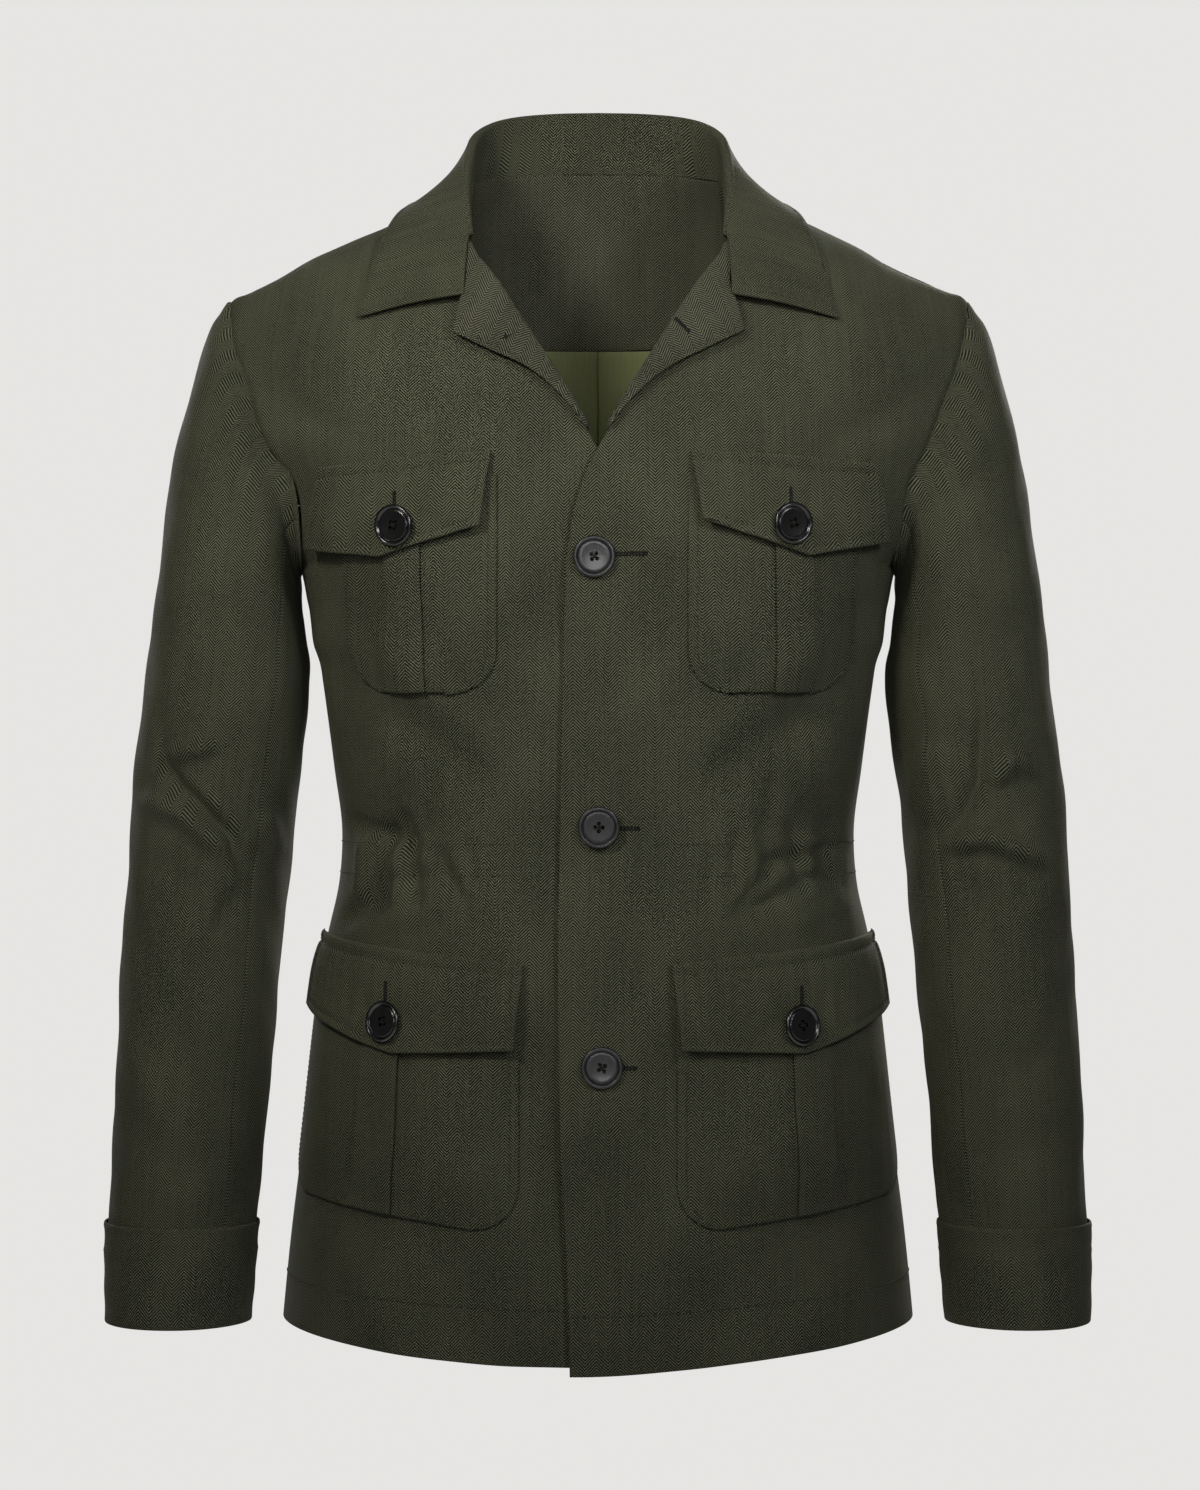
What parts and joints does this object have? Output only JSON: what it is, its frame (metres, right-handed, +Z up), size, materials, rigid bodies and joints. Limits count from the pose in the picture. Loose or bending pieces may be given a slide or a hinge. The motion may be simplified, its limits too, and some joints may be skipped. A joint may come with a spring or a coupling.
{
  "type": "safari jacket",
  "caption": "Worn and hollow herringbone safari jacket with notched lapels, chest and hip patch pockets with pointed flaps, gathered waist and cuff bands.",
  "frame": {"origin": "middle of the base of the neck, level with the inner ends of the shoulder seams, where the wearer's shoulders carry the jacket", "axes": "+Z up the body, -Y out of the front, +X to the wearer's left"},
  "size_m": [0.6084, 0.2501, 0.7825],
  "materials": {
    "shell": "dark olive herringbone wool, soft and matte",
    "facing": "the same herringbone, seen a little lighter inside",
    "lining": "plain olive satin lining",
    "button": "glossy near-black"
  },
  "bodies": {
    "root": {"front_left": "shell", "front_right": "shell", "facing_left": "facing", "facing_right": "facing", "back": "shell", "neck_facing": "facing", "lining_left": "lining", "lining_right": "lining", "collar": "shell", "sleeve_left_top": "shell", "sleeve_left_under": "shell", "sleeve_right_top": "shell", "sleeve_right_under": "shell", "cuff_left": "shell", "cuff_right": "shell", "chest_pocket_left": "shell", "chest_pleat_left": "shell", "chest_flap_left": "shell", "chest_pocket_right": "shell", "chest_pleat_right": "shell", "chest_flap_right": "shell", "hip_pocket_left": "shell", "hip_pleat_left": "shell", "hip_flap_left": "shell", "hip_pocket_right": "shell", "hip_pleat_right": "shell", "hip_flap_right": "shell", "button_front_1": "button", "button_front_2": "button", "button_front_3": "button", "button_chest_left": "button", "button_chest_right": "button", "button_hip_left": "button", "button_hip_right": "button"}
  },
  "joints": []
}
